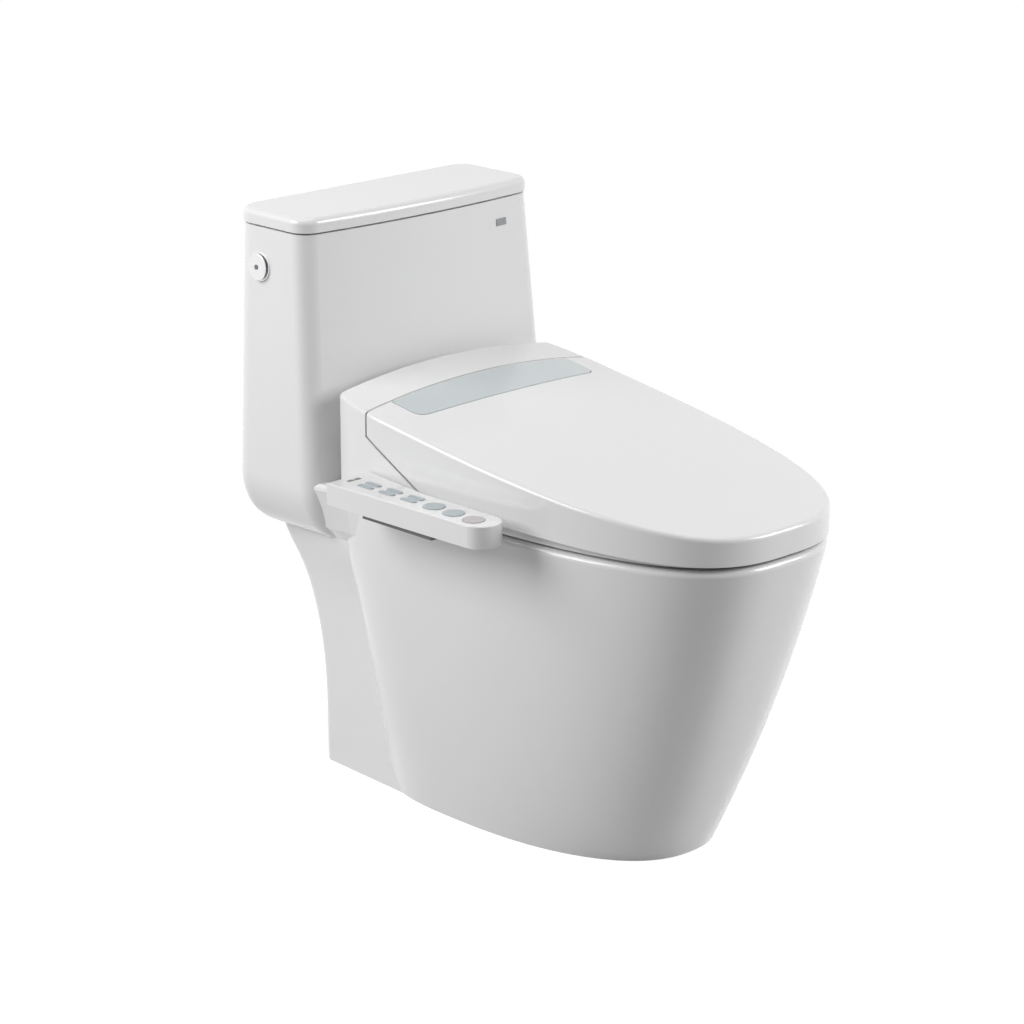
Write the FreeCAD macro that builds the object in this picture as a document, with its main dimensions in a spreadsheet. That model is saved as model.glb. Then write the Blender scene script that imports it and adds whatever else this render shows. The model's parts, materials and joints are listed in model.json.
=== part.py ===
import FreeCAD, Part
import math
import os
import re
import Sketcher

# A one-piece toilet with a heated bidet seat. Millimetres, +Z up, the front of the bowl towards -Y.
# The origin is the centre of the floor outlet. The control arm and the flush button are on the -X side.

V = FreeCAD.Vector
doc = FreeCAD.newDocument("SmartToilet")
sheet = doc.addObject("Spreadsheet::Sheet", "Sizes")

SIZES = [
    # china: bowl, skirt and tank
    ("china_wall", 12.0),
    ("rim_height", 403.0),
    ("deck_thick", 18.0),
    ("base_half", 136.0),
    ("rim_half", 187.0),
    ("base_front", 300.5),
    ("rim_front", 444.0),
    ("base_wide_y", -39.0),
    ("rim_wide_y", 40.0),
    ("base_power", 2.28),
    ("rim_power", 2.95),
    ("flank_belly", 0.6),
    ("front_belly", 0.35),
    ("flank_back_low", 155.0),
    ("flank_back_high", 225.0),
    ("rim_edge_round", 7.0),
    ("skirt_half", 115.5),
    ("skirt_widen", 16.0),
    ("skirt_widen_top", 27.5),
    ("skirt_rear", 236.5),
    ("skirt_flare_side", 31.0),
    ("skirt_flare_rear", 44.0),
    ("skirt_front_y", -20.0),
    ("skirt_front_top_y", 100.0),
    ("skirt_corner", 14.0),
    ("skirt_rise", 14.0),
    ("cheek_front", 40.0),
    ("cheek_thick", 40.0),
    ("cheek_drop", 107.0),
    ("cheek_front_sunk", 3.0),
    ("cheek_rear_sunk", 4.0),
    ("cheek_top_sunk", 0.4),
    ("cheek_dip", 3.0),
    ("tank_back", 298.0),
    ("tank_floor", 316.0),
    ("tank_floor_thick", 16.0),
    ("tank_top", 706.0),
    ("tank_half_low", 207.0),
    ("tank_half_top", 190.0),
    ("tank_front_low", 144.0),
    ("tank_front_top", 174.0),
    ("tank_bow", 12.0),
    ("tank_front_corner", 24.0),
    ("tank_back_corner", 26.0),
    ("tank_side_round", 80.0),
    ("tank_inner_round", 64.0),
    ("tank_rear_round", 25.0),
    ("tank_inner_corner", 3.0),
    ("bowl_half", 113.0),
    ("bowl_rear", -72.0),
    ("bowl_front", -392.0),
    ("bowl_power", 2.3),
    ("sump_level", 150.0),
    ("sump_half", 28.0),
    ("sump_reach", 36.4),
    ("sump_y", -200.0),
    ("trap_bore", 27.0),
    ("trap_wall", 8.0),
    ("trap_crest", 240.0),
    ("outlet_bore", 38.0),
    ("outlet_wall", 9.0),
    ("outlet_depth", 40.0),
    ("channel_bore", 22.0),
    ("channel_wall", 9.0),
    ("channel_height", 294.0),
    ("channel_bend", 34.0),
    ("trap_rise_y", -85.0),
    ("trap_bend", 52.0),
    ("skirt_opening", 60.0),
    ("valve_recess", 8.0),
    # outlet seal
    ("gasket_wall", 8.0),
    ("gasket_thick", 22.0),
    ("gasket_lift", 1.0),
    # tank lid
    ("pad_thick", 2.5),
    ("pad_round", 5.0),
    ("pad_inset", 6.0),
    ("tank_lid_thick", 18.0),
    ("tank_lid_overhang", 1.5),
    ("tank_lid_round", 8.0),
    ("tank_lid_rib", 9.0),
    ("tank_lid_rib_wall", 5.0),
    ("tank_lid_gap", 2.0),
    # flush button in the tank's side wall
    ("button_y", 252.0),
    ("button_z", 657.0),
    ("button_hole", 8.6),
    ("button_travel", 3.0),
    ("bezel_half", 17.5),
    ("bezel_thick", 1.2),
    ("bezel_rim", 1.2),
    ("sleeve_half", 8.4),
    ("sleeve_length", 24.0),
    ("stem_half", 4.5),
    ("stem_play", 0.1),
    ("button_thick", 1.6),
    ("button_edge", 0.8),
    ("dot_half", 3.2),
    ("dot_thick", 0.5),
    ("button_nut_half", 12.0),
    ("button_nut_thick", 6.0),
    # flush valve and its lift lever
    ("valve_y", 216.0),
    ("valve_hole", 30.0),
    ("valve_flange", 40.0),
    ("valve_flange_thick", 5.0),
    ("valve_gasket_thick", 3.0),
    ("valve_seat_height", 22.0),
    ("tower_half", 10.0),
    ("tower_wall", 2.0),
    ("tower_height", 285.0),
    ("canister_bore", 10.4),
    ("canister_half", 34.0),
    ("canister_height", 150.0),
    ("seal_half", 36.0),
    ("seal_thick", 3.0),
    ("cable_half", 2.5),
    # fill valve
    ("fill_x", 82.0),
    ("fill_y", 224.0),
    ("fill_hole", 12.2),
    ("shank_half", 10.4),
    ("shank_length", 52.0),
    ("shank_free", 24.0),
    ("shank_neck", 2.0),
    ("neck_half", 9.4),
    ("thread_half", 11.4),
    ("fill_flange_half", 19.0),
    ("fill_flange_thick", 4.0),
    ("fill_column_half", 12.0),
    ("fill_height", 265.0),
    ("fill_head_half", 22.0),
    ("fill_head_height", 38.0),
    ("float_half", 26.0),
    ("float_height", 60.0),
    ("float_low", 120.0),
    ("float_play", 0.3),
    ("fill_nut_half", 17.0),
    ("fill_nut_thick", 9.0),
    ("washer_thick", 3.0),
    ("tube_half", 4.0),
    # seat unit: common outline and top surface
    ("lid_half", 188.0),
    ("lid_front", 442.0),
    ("lid_wide_y", 40.0),
    ("lid_power", 3.0),
    ("unit_rear_half", 176.0),
    ("unit_rear_y", 130.0),
    ("lid_edge_front", 436.0),
    ("unit_edge_rear", 518.0),
    ("crown_front", 4.0),
    ("crown_rear", 18.0),
    ("lid_under_front", 407.5),
    ("lid_under_rear", 423.0),
    ("parting_low_y", -51.0),
    ("parting_low_z", 418.2),
    ("parting_high_z", 480.2),
    ("lid_rear_y", 66.0),
    ("parting_gap", 3.0),
    ("nose_setback", 1.0),
    ("lug_back_cut", 2.0),
    ("lid_wall", 3.0),
    ("lid_edge_round", 6.0),
    # hinge shared by the lid and the ring
    ("hinge_y", 45.0),
    ("hinge_z", 503.0),
    ("pin_half", 3.0),
    ("pin_play", 0.08),
    ("boss_half", 8.0),
    ("lid_ear_x", 89.0),
    ("ear_thick", 12.0),
    ("ear_gap", 2.0),
    ("damper_half", 7.0),
    ("damper_length", 28.0),
    ("damper_seat", 9.0),
    ("barrel_gap", 1.6),
    # accent strip on the lid
    ("strip_half", 147.0),
    ("strip_rear_gap", 2.0),
    ("strip_front_side", 14.0),
    ("strip_front_mid", 3.0),
    ("strip_proud", 0.6),
    ("strip_sunk", 1.8),
    ("strip_play", 1.2),
    # lid bumpers
    ("lid_bumper_x", 62.0),
    ("lid_bumper_y", -395.0),
    ("lid_bumper_half", 6.0),
    # heated ring
    ("ring_inset", 9.0),
    ("ring_under", 405.5),
    ("ring_top_front", 429.0),
    ("ring_top_rear", 458.0),
    ("ring_rear_y", -54.0),
    ("ring_wall", 3.0),
    ("ring_round", 7.0),
    ("ring_plate_thick", 3.0),
    ("ring_play", 0.4),
    ("hole_half", 106.0),
    ("hole_front", -388.0),
    ("hole_rear", -108.0),
    ("hole_power", 2.3),
    ("heater_thick", 1.0),
    ("notch_half", 34.0),
    ("notch_top", 433.0),
    ("ring_bumper_half", 7.0),
    # housing, base and mounting
    ("plate_thick", 3.0),
    ("plate_half", 100.0),
    ("plate_front", 20.0),
    ("plate_rear", 112.0),
    ("seat_bolt_x", 77.5),
    ("seat_bolt_y", 70.0),
    ("seat_bolt_hole", 7.0),
    ("seat_bolt_half", 3.5),
    ("bolt_head_half", 7.5),
    ("bolt_head_thick", 4.0),
    ("bolt_head_room", 1.0),
    ("sleeve_drop", 12.0),
    ("base_thick", 3.0),
    ("shell_wall", 3.0),
    ("nose_half", 33.0),
    ("nose_top", 452.0),
    ("nose_back", 40.0),
    # nozzles
    ("nozzle_x", 11.0),
    ("nozzle_half", 6.5),
    ("nozzle_play", 0.08),
    ("nozzle_tip_z", 424.0),
    ("nozzle_tilt", 15.0),
    ("nozzle_length", 120.0),
    ("nozzle_setback", 6.0),
    ("holder_half", 22.0),
    # inner parts of the unit
    ("heater_x", 108.0),
    ("heater_length", 76.0),
    ("heater_depth", 34.0),
    ("heater_height", 56.0),
    ("inner_y", 102.0),
    ("valve_x", -120.0),
    ("valve_length", 58.0),
    ("valve_depth", 30.0),
    ("valve_height", 34.0),
    ("board_x", -10.0),
    ("board_length", 120.0),
    ("board_height", 48.0),
    ("board_thick", 1.6),
    ("board_foot", 5.0),
    ("inlet_z", 428.0),
    ("inlet_y", 88.0),
    ("inlet_half", 10.4),
    ("inlet_length", 16.0),
    ("gland_y", 114.0),
    ("gland_z", 452.0),
    ("gland_half", 7.0),
    ("gland_length", 9.0),
    ("gland_bore", 3.4),
    ("gland_floor", 1.0),
    ("side_hole_depth", 40.0),
    # control arm
    ("arm_outer_rear", 257.0),
    ("arm_outer_front", 252.0),
    ("arm_inner_rear", 189.2),
    ("arm_inner_mid", 204.0),
    ("arm_rear_y", 60.0),
    ("arm_mid_y", -57.0),
    ("arm_tip_y", -199.0),
    ("arm_top", 437.5),
    ("arm_thick", 27.0),
    ("arm_wall", 2.5),
    ("arm_cap_thick", 3.0),
    ("arm_edge_round", 1.2),
    ("key_proud", 0.9),
    ("key_stem", 3.4),
    ("key_play", 0.3),
    ("pill_length", 25.0),
    ("pill_width", 8.4),
    ("pill_row_near", 234.0),
    ("pill_row_far", 222.0),
    ("pill_first_y", 16.0),
    ("pill_pitch", 37.5),
    ("round_x", 229.5),
    ("round_half", 13.0),
    ("round_first_y", -98.0),
    ("round_pitch", 34.5),
    ("window_x", 225.0),
    ("window_y", 47.0),
    ("window_length", 6.0),
    ("window_width", 9.0),
    ("window_thick", 1.0),
    ("arm_board_width", 30.0),
    ("pad_strip_x", 246.5),
    ("pad_strip_front", -116.0),
    ("pad_strip_rear", 3.0),
    ("pad_strip_width", 9.0),
    ("pad_strip_thick", 5.5),
    ("arm_inner_front", 203.0),
    ("arm_shoulder_y", -177.0),
    ("arm_board_x", 229.0),
    ("arm_board_front", -175.0),
    ("arm_board_length", 215.0),
    ("arm_board_drop", 8.0),
    ("arm_post_half", 3.0),
    ("arm_post_front", -150.0),
    ("arm_post_rear", 30.0),
    ("key_flange_thick", 1.2),
    ("key_catch", 1.2),
    ("key_stem_half", 1.7),
    ("round_drift", 1.2),
    ("window_pitch", 11.0),
    ("window_play", 0.3),
    # shared gaps and small sizes
    ("rest_gap", 0.3),
    ("nut_play", 0.05),
    ("hole_play", 0.3),
    ("pin_seat", 0.02),
    ("pad_x", 120.0),
    ("pad_front", 1.0),
    ("valve_throat", 24.0),
    ("tower_head_half", 16.0),
    ("tower_head_height", 24.0),
    ("refill_rise", 30.0),
    ("tube_bend", 12.0),
    ("cable_run", 60.0),
    ("cable_crest", 688.0),
    ("strip_corner", 15.0),
    ("arm_root_low", 428.0),
    ("arm_root_high", 455.0),
    ("ring_bumper_front_x", 95.0),
    ("ring_bumper_front_y", -370.0),
    ("ring_bumper_rear_x", 150.0),
    ("ring_bumper_rear_y", -100.0),
    ("housing_corner", 10.0),
    ("port_half", 26.0),
    ("port_low", 411.0),
    ("port_high", 435.0),
    ("cradle_x", 66.0),
    ("damper_end_x", 88.0),
    ("seat_nut_thick", 8.0),
    ("seat_nut_half", 12.0),
    ("bracket_y", 22.0),
    ("bracket_width", 34.0),
    ("bracket_end", 215.0),
    ("jet_half", 1.2),
    ("jet_back", 9.0),
    ("holder_front", -20.0),
    ("holder_rear", 30.0),
    ("holder_wall", 1.4),
    ("inlet_x", 186.2),
    ("inlet_spigot", 7.0),
    ("inlet_wall", 3.0),
    ("spigot_length", 14.0),
    ("gland_x", 181.9),
    ("gland_spigot", 5.0),
    # badge plate on the tank's front
    ("badge_x", 131.0),
    ("badge_z", 677.0),
    ("badge_length", 18.0),
    ("badge_height", 9.0),
    ("badge_thick", 0.8),
]

for row, (alias, number) in enumerate(SIZES, start=1):
    sheet.set(f"A{row}", alias)
    sheet.set(f"B{row}", str(number))
    sheet.setAlias(f"B{row}", alias)
doc.recompute()


def size(alias):
    """A driving dimension, read back from the sheet."""
    return float(sheet.get(alias))


def bound(text):
    """An expression in which every plain word is a cell of the sheet."""
    return re.sub(r"[a-z_][a-z_0-9]*", r"Sizes.\g<0>", text)


# ---------------------------------------------------------------- small builders

def place(item, x="0", y="0", z="0", turn=None):
    """Puts an object at a spot given by expressions, after turning it."""
    item.Placement = FreeCAD.Placement(V(0, 0, 0), turn or FreeCAD.Rotation())
    item.setExpression("Placement.Base.x", bound(x))
    item.setExpression("Placement.Base.y", bound(y))
    item.setExpression("Placement.Base.z", bound(z))
    return item


def rod(radius, length, x="0", y="0", z="0", turn=None):
    """A round bar that runs up from its spot before any turn."""
    item = doc.addObject("Part::Cylinder", "Rod")
    item.setExpression("Radius", bound(radius))
    item.setExpression("Height", bound(length))
    return place(item, x, y, z, turn)


def block(length, width, height, x="0", y="0", z="0", turn=None):
    """A box whose lowest corner is at its spot."""
    item = doc.addObject("Part::Box", "Block")
    item.setExpression("Length", bound(length))
    item.setExpression("Width", bound(width))
    item.setExpression("Height", bound(height))
    return place(item, x, y, z, turn)


def cut(base, *tools):
    for tool in tools:
        result = doc.addObject("Part::Cut", "Cut")
        result.Base = base
        result.Tool = tool
        base = result
    return base


def fuse(*items):
    result = doc.addObject("Part::MultiFuse", "Fuse")
    result.Shapes = list(items)
    result.Refine = True
    return result


def group(*items):
    result = doc.addObject("Part::Compound", "Group")
    result.Links = list(items)
    return result


NODES = []


def name(item, label):
    """Makes an object one of the finished sub-parts."""
    item.Label = label
    NODES.append(item)
    return item


def solid(label, shape):
    """A sub-part with a free-form shape."""
    item = doc.addObject("Part::Feature", "Solid")
    item.Shape = shape
    return name(item, label)


def outline_sketch(body, plane_role, points):
    """A closed polygon on one of the body's origin planes; each corner is a pair of expressions."""
    plane = [p for p in body.Origin.OriginFeatures if p.Role == plane_role][0]
    sketch = body.newObject("Sketcher::SketchObject", "Outline")
    sketch.AttachmentSupport = [(plane, "")]
    sketch.MapMode = "FlatFace"
    count = len(points)
    spots = [V(math.cos(2 * math.pi * i / count), math.sin(2 * math.pi * i / count), 0) for i in range(count)]
    for i in range(count):
        sketch.addGeometry(Part.LineSegment(spots[i], spots[(i + 1) % count]))
    for i in range(count):
        sketch.addConstraint(Sketcher.Constraint("Coincident", i, 2, (i + 1) % count, 1))
    for i, (x, y) in enumerate(points):
        for kind, expression, start in (("DistanceX", x, spots[i].x), ("DistanceY", y, spots[i].y)):
            index = sketch.addConstraint(Sketcher.Constraint(kind, -1, 1, i, 1, start))
            sketch.setExpression(f"Constraints[{index}]", bound(expression))
    return sketch


def turned(label, points, x="0", y="0", z="0", turn=None):
    """A body turned about its own Z axis from (radius, height) corners."""
    body = doc.addObject("PartDesign::Body", "Turned")
    sketch = outline_sketch(body, "XZ_Plane", points)
    feature = body.newObject("PartDesign::Revolution", "Revolution")
    feature.Profile = sketch
    feature.ReferenceAxis = (sketch, ["V_Axis"])
    feature.Angle = 360
    body.Tip = feature
    place(body, x, y, z, turn)
    return name(body, label) if label else body


def plate(label, points, thickness, x="0", y="0", z="0", turn=None):
    """A body padded up from a flat outline."""
    body = doc.addObject("PartDesign::Body", "Plate")
    sketch = outline_sketch(body, "XY_Plane", points)
    feature = body.newObject("PartDesign::Pad", "Pad")
    feature.Profile = sketch
    feature.setExpression("Length", bound(thickness))
    body.Tip = feature
    place(body, x, y, z, turn)
    return name(body, label) if label else body


def hexagon(across):
    """Corner expressions of a hexagon with the given half width across its corners."""
    return [(f"({across})*{math.cos(i * math.pi / 3):.6f}", f"({across})*{math.sin(i * math.pi / 3):.6f}")
            for i in range(6)]


def rounded_path(points, radius):
    """Straight runs in the YZ plane joined by tangent arcs of one radius."""
    edges = []
    start = points[0]
    for before, corner, after in zip(points, points[1:], points[2:]):
        back = (before - corner).normalize()
        ahead = (after - corner).normalize()
        half_turn = (math.pi - back.getAngle(ahead)) / 2
        reach = radius * math.tan(half_turn)
        first = corner + back * reach
        last = corner + ahead * reach
        bisector = (back + ahead).normalize()
        middle = corner + bisector * (radius / math.cos(half_turn) - radius)
        edges.append(Part.LineSegment(start, first).toShape())
        edges.append(Part.Arc(first, middle, last).toShape())
        start = last
    edges.append(Part.LineSegment(start, points[-1]).toShape())
    return Part.Wire(edges)


def tube_along(path, radius):
    """A round bar swept along a path of lines and arcs."""
    start = path.OrderedVertexes[0].Point
    direction = path.OrderedEdges[0].tangentAt(path.OrderedEdges[0].FirstParameter)
    ring = Part.Wire([Part.Circle(start, direction, radius).toShape()])
    return path.makePipeShell([ring], True, False)


def loop(points):
    """A smooth closed curve through the points."""
    curve = Part.BSplineCurve()
    curve.interpolate(points, PeriodicFlag=True)
    return Part.Wire([curve.toShape()])


def super_radius(angle, half, reach, power):
    """Distance from the centre of a rounded-rectangle oval to its edge at an angle."""
    return ((abs(math.cos(angle)) / half) ** power + (abs(math.sin(angle)) / reach) ** power) ** (-1 / power)


# counts, powers and tolerances of the free forms
OVAL_STEPS = 48
PEDESTAL_STEPS = 6
TANK_STEPS = 6
FLANK_POWER = 3.0
FLANK_FLARE = 3.0
SIDE_FLARE = 4.5
REAR_FLARE = 2.7
SKIRT_STAGES = (0, 0.3, 0.5, 0.66, 0.8, 0.91, 1)
BOWL_STAGES = [(1.0, 1.0), (0.9, 0.985), (0.6, 0.87), (0.32, 0.6), (0.1, 0.17), (0.0, 0.0)]
NEARLY = 0.9
FINE = 0.01
OVERLAP = 5.0
SHORT = 1.0
DEEP = 4
SKY = 700.0
WIDE = 200.0


def oval(half, front, rear, wide_y, front_power, rear_power, z):
    """A closed oval, widest at wide_y, with its front at -Y."""
    points = []
    for i in range(OVAL_STEPS):
        angle = 2 * math.pi * i / OVAL_STEPS
        ahead = math.sin(angle) < 0
        reach = wide_y - front if ahead else rear - wide_y
        r = super_radius(angle, half, reach, front_power if ahead else rear_power)
        points.append(V(r * math.cos(angle), wide_y + r * math.sin(angle), z))
    return loop(points)


# ---------------------------------------------------------------- china

def eased(low, high, share, belly):
    """A value that runs from low to high and bulges by belly on the way."""
    return low + (high - low) * ((1 + belly) * share - belly * share ** 2)


def flank_section(z, inset):
    share = z / size("rim_height")
    half = eased(size("base_half"), size("rim_half"), share, size("flank_belly")) - inset
    front = -eased(size("base_front"), size("rim_front"), share, size("front_belly")) + inset
    wide_y = eased(size("base_wide_y"), size("rim_wide_y"), share, 0)
    rear = eased(size("flank_back_low"), size("flank_back_high"), share ** FLANK_FLARE, 0) - inset
    power = eased(size("base_power"), size("rim_power"), share, 0)
    return oval(half, front, rear, wide_y, power, FLANK_POWER, z)


def pedestal(top, bottom, inset):
    """The convex front of the bowl, from the floor to the rim."""
    levels = [bottom + (top - bottom) * i / PEDESTAL_STEPS for i in range(PEDESTAL_STEPS + 1)]
    return Part.makeLoft([flank_section(z, inset) for z in levels], True, False)


def skirt_section(z, inset, rear_extra):
    share = min(max(z, 0) / size("tank_floor"), 1)
    flare = share ** SIDE_FLARE
    half = size("skirt_half") + size("skirt_flare_side") * flare - inset
    rear = size("skirt_rear") + size("skirt_flare_rear") * share ** REAR_FLARE + rear_extra
    widen = size("skirt_widen") + (size("skirt_widen_top") - size("skirt_widen")) * flare
    front = size("skirt_front_y") + (size("skirt_front_top_y") - size("skirt_front_y")) * flare
    front_half = half + widen
    corners = [V(-half, rear, z), V(half, rear, z), V(front_half, front, z), V(-front_half, front, z)]
    return Part.makePolygon(corners + corners[:1])


def skirt(bottom, top, inset, rear_extra):
    """The recessed rear of the foot, flared up to the tank's underside."""
    levels = [bottom + (top - bottom) * stage for stage in SKIRT_STAGES]
    return Part.makeLoft([skirt_section(z, inset, rear_extra) for z in levels], True, False)


def upright_edges(shape, height, low_y, high_y):
    """Edges nearly as tall as the height, with their middles between two depths."""
    return [e for e in shape.Edges
            if e.BoundBox.ZLength > NEARLY * height and low_y < e.BoundBox.Center.y < high_y]


def level_edges(shape, z):
    """Edges that lie flat at one height."""
    return [e for e in shape.Edges if abs(e.BoundBox.ZMin - z) < FINE and abs(e.BoundBox.ZMax - z) < FINE]


def tank_half(z):
    share = (z - size("tank_floor")) / (size("tank_top") - size("tank_floor"))
    return size("tank_half_low") + (size("tank_half_top") - size("tank_half_low")) * share


def drawn_in(z, floor, radius):
    """How far a rounded bottom edge draws a wall in at a height."""
    left = max(floor + radius - z, 0)
    return radius - math.sqrt(max(radius ** 2 - left ** 2, 0))


def tank_section(z, inset, side_in=0.0, back_in=0.0):
    """The tank's plan at a height: a bowed front, straight sides and back, and four round corners."""
    share = (z - size("tank_floor")) / (size("tank_top") - size("tank_floor"))
    half = tank_half(z) - inset
    front = size("tank_front_low") + (size("tank_front_top") - size("tank_front_low")) * share + inset
    back = size("tank_back") - inset - back_in
    bow, side = size("tank_bow"), half - side_in
    front_round = max(size("tank_front_corner") - inset, size("tank_inner_corner"))
    back_round = max(size("tank_back_corner") - inset, size("tank_inner_corner"))
    slope = math.atan(2 * bow / half)
    touch_x = side - front_round * (1 - math.sin(slope))
    touch_y = front - bow * (1 - (touch_x / half) ** 2)
    corner_y = touch_y + front_round * math.cos(slope)
    corner_x = side - front_round
    lean = (slope - math.pi / 2) / 2
    chord = back_round * (1 - math.sqrt(1 / 2))

    def ends(sign):
        """Where the corners of one side start, middle and end, from the front to the back."""
        spots = [(touch_x, touch_y),
                 (corner_x + front_round * math.cos(lean), corner_y + front_round * math.sin(lean)),
                 (side, corner_y), (side, back - back_round), (side - chord, back - chord),
                 (side - back_round, back)]
        return [V(sign * x, y, z) for x, y in spots]

    right, left = ends(1), ends(-1)
    return Part.Wire([
        Part.Arc(left[0], V(0, front - bow, z), right[0]).toShape(), Part.Arc(*right[:3]).toShape(),
        Part.LineSegment(right[2], right[3]).toShape(), Part.Arc(*right[3:]).toShape(),
        Part.LineSegment(right[5], left[5]).toShape(), Part.Arc(left[5], left[4], left[3]).toShape(),
        Part.LineSegment(left[3], left[2]).toShape(), Part.Arc(left[2], left[1], left[0]).toShape()])


def tank_block(bottom, top, inset, side_round, rear_round):
    """The tank's outer form, or what fits inside it by an inset, with a rounded bottom."""
    shoulder = bottom + side_round
    steps = TANK_STEPS
    levels = [shoulder - side_round * math.sin(math.pi / 2 * (steps - i) / steps) for i in range(steps + 1)]
    wires = [tank_section(z, inset, drawn_in(z, bottom, side_round), drawn_in(z, bottom, rear_round))
             for z in levels]
    foot = Part.makeLoft(wires, True, False)
    body = Part.makeLoft([tank_section(shoulder, inset), tank_section(top, inset)], True, True)
    return body.fuse(foot)


def tank_form():
    """The tank's outside, from its floor to its top."""
    rounds = size("tank_side_round"), size("tank_rear_round")
    return tank_block(size("tank_floor"), size("tank_top"), 0, *rounds)


def bowl_form(inset, top, bottom):
    """The bowl's hollow, or its outer wall with a negative inset."""
    rim = size("rim_height")
    middle = (size("bowl_rear") + size("bowl_front")) / 2
    reach = (size("bowl_rear") - size("bowl_front")) / 2
    sump, sump_half, sump_y = size("sump_level"), size("sump_half"), size("sump_y")
    wires = []
    for climb, spread in BOWL_STAGES:
        half = sump_half + (size("bowl_half") - sump_half) * spread - inset
        length = size("sump_reach") + (reach - size("sump_reach")) * spread - inset
        centre = sump_y + (middle - sump_y) * spread
        z = {1.0: top, 0.0: bottom}.get(climb, sump + (rim - sump) * climb)
        power = size("bowl_power")
        wires.append(oval(half, centre - length, centre + length, centre, power, power, z))
    return Part.makeLoft(wires, True, False)


def joined(shape, additions):
    for addition in additions:
        shape = shape.fuse(addition)
    return shape


def carved(shape, tools):
    for tool in tools:
        shape = shape.cut(tool)
    return shape


def upright_hole(radius, x, y, low, high):
    return Part.makeCylinder(radius, high - low, V(x, y, low))


def trapway(start_y, end_z, radius):
    """The waterway from the sump over the crest and down to the floor outlet."""
    bend = size("trap_bend")
    points = [V(0, start_y, size("sump_level")), V(0, size("trap_rise_y"), size("trap_crest")),
              V(0, 0, size("trap_crest")), V(0, 0, end_z)]
    return tube_along(rounded_path(points, bend), radius)


def rinse_channel(start_z, end_y, radius):
    """The waterway from the flush valve to the bowl's rear wall."""
    points = [V(0, size("valve_y"), start_z), V(0, size("valve_y"), size("channel_height")),
              V(0, end_y, size("channel_height"))]
    return tube_along(rounded_path(points, size("channel_bend")), radius)


def flank_x(y, z):
    """Half width of the bowl's outer flank at a depth and height, behind its widest place."""
    share = z / size("rim_height")
    half = eased(size("base_half"), size("rim_half"), share, size("flank_belly"))
    wide_y = eased(size("base_wide_y"), size("rim_wide_y"), share, 0)
    rear = size("flank_back_low") + (size("flank_back_high") - size("flank_back_low")) * share ** FLANK_FLARE
    back = min(abs(y - wide_y) / (rear - wide_y), 1)
    return half * (1 - back ** FLANK_POWER) ** (1 / FLANK_POWER)


def cheek_section(side, z):
    """The plan of the shoulder that carries the bowl's flank back to the tank's side wall."""
    edge, start, end = size("rim_edge_round"), size("cheek_front"), size("tank_front_top")
    over = max(z - size("rim_height") + edge, 0)
    eased_in = edge - math.sqrt(edge ** 2 - over ** 2)
    side_in = drawn_in(z, size("tank_floor"), size("tank_side_round"))
    first = flank_x(start, z) - size("cheek_front_sunk") - eased_in
    last = tank_half(z) - side_in - size("cheek_rear_sunk") - eased_in
    thick = size("cheek_thick")
    spots = [(first, start), ((first + last) / 2 - size("cheek_dip"), (start + end) / 2), (last, end),
             (last - thick, end), (first - thick, start)]
    corners = [V(side * x, y, z) for x, y in spots]
    return Part.makePolygon(corners + corners[:1])


def cheek(side):
    """A shoulder between flank and tank, with the rim's rounded top edge."""
    edge, top = size("rim_edge_round"), size("rim_height") - size("cheek_top_sunk")
    low = top - size("cheek_drop")
    levels = [low + (top - edge - low) * share for share in (0, 1 / 2, 1)]
    levels += [top - edge * (1 - share) for share in (1 / 2, 1)]
    return Part.makeLoft([cheek_section(side, z) for z in levels], True, True)


def foot_shell():
    """The bowl's front and the recessed rear foot, hollow and open below and behind."""
    rim, floor, wall = size("rim_height"), size("tank_floor"), size("china_wall")
    front = pedestal(rim, 0, 0)
    front = front.makeFillet(size("rim_edge_round"), level_edges(front, rim))
    rear = skirt(0, floor + size("skirt_rise"), 0, 0)
    corners = upright_edges(rear, floor, size("skirt_rear") - size("skirt_corner"), size("tank_back"))
    rear = rear.makeFillet(size("skirt_corner"), corners)
    hollow = [pedestal(rim - size("deck_thick"), -OVERLAP, wall),
              skirt(-OVERLAP, floor, wall, size("skirt_opening"))]
    return carved(joined(front, [cheek(-1), cheek(1), rear]), hollow)


def slab_between(low, high):
    """Everything between two heights."""
    return Part.makeBox(2 * SKY, 2 * SKY, high - low, V(-SKY, -SKY, low))


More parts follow.
